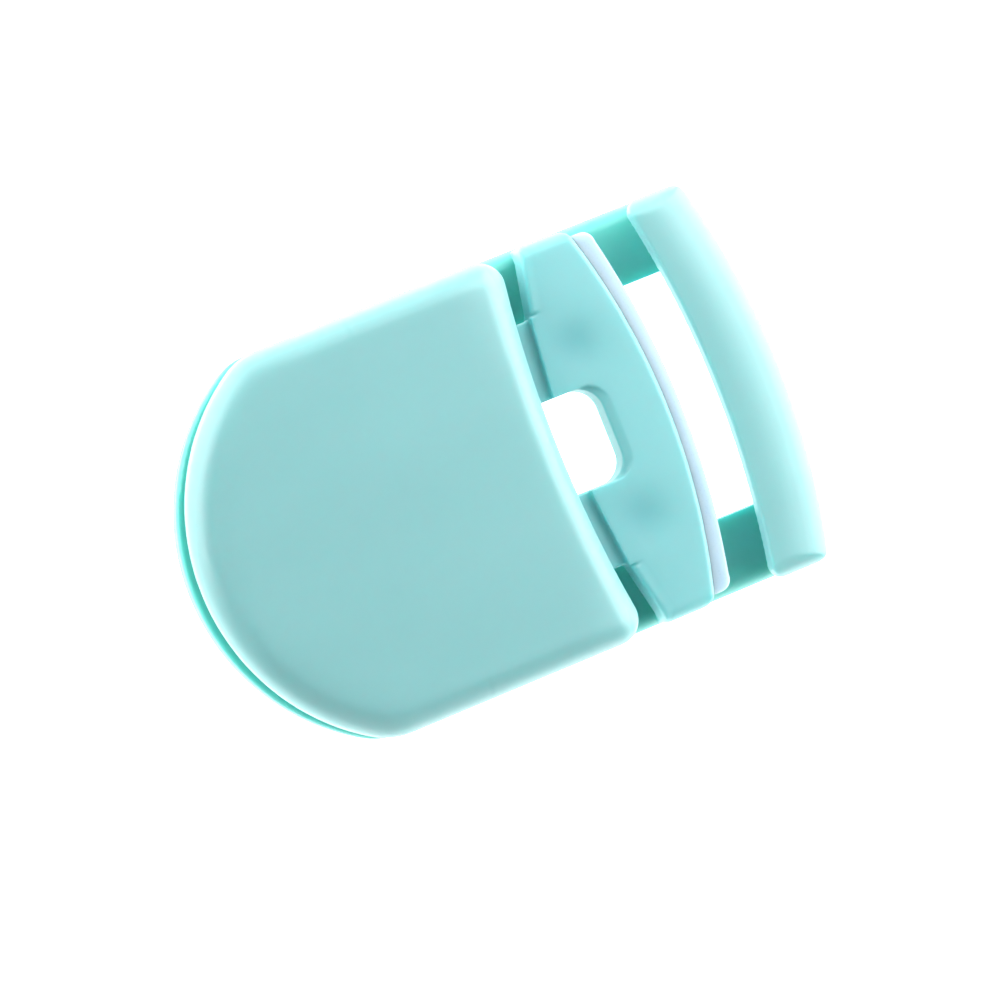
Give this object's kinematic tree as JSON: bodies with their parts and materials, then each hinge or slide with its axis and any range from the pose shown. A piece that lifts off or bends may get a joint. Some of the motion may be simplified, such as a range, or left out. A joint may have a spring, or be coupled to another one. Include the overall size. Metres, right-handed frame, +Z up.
{
  "type": "eyelash curler",
  "caption": "Pocket squeeze eyelash curler: D-shaped thumb cover, sliding jaw with a soft pad, and a curved lash bar across an open window.",
  "frame": {"origin": "bottom centre of the whole curler at rest, on the surface it lies on", "axes": "+X across the curler, +Y from the palm end to the lash bar, +Z up through the press cover"},
  "size_m": [0.038, 0.059, 0.0115],
  "materials": {
    "body_plastic": "glossy moulded mint ABS, slightly translucent",
    "bar_plastic": "glossy moulded mint ABS, slightly translucent",
    "cover_plastic": "glossy moulded mint ABS, slightly translucent",
    "jaw_plastic": "glossy moulded mint ABS, slightly translucent",
    "silicone": "soft translucent milky silicone",
    "steel": "drawn steel wire and pin stock"
  },
  "bodies": {
    "frame": {"base_frame": "body_plastic", "lash_bar": "bar_plastic", "hinge_pin_left": "steel", "hinge_pin_right": "steel", "return_spring": "steel"},
    "lever": {"press_cover": "cover_plastic"},
    "jaw": {"jaw_slider": "jaw_plastic", "silicone_pad": "silicone", "cam_pin": "steel"}
  },
  "joints": [
    {"name": "press_hinge", "type": "hinge", "parent": "frame", "child": "lever", "pos_m": [0, 0.003, 0.007], "axis": [1, 0, 0], "range_deg": [0, 8], "stiffness_Nm_per_rad": 0.45, "springref_deg": -2.58, "deforming": ["return_spring"]},
    {"name": "jaw_slide", "type": "slide", "parent": "frame", "child": "jaw", "axis": [0, 1, 0], "range_m": [0, 0.00361]}
  ],
  "couplings": [
    {"joint": "jaw_slide", "follows": "press_hinge", "m_per_rad": 0.025783}
  ]
}
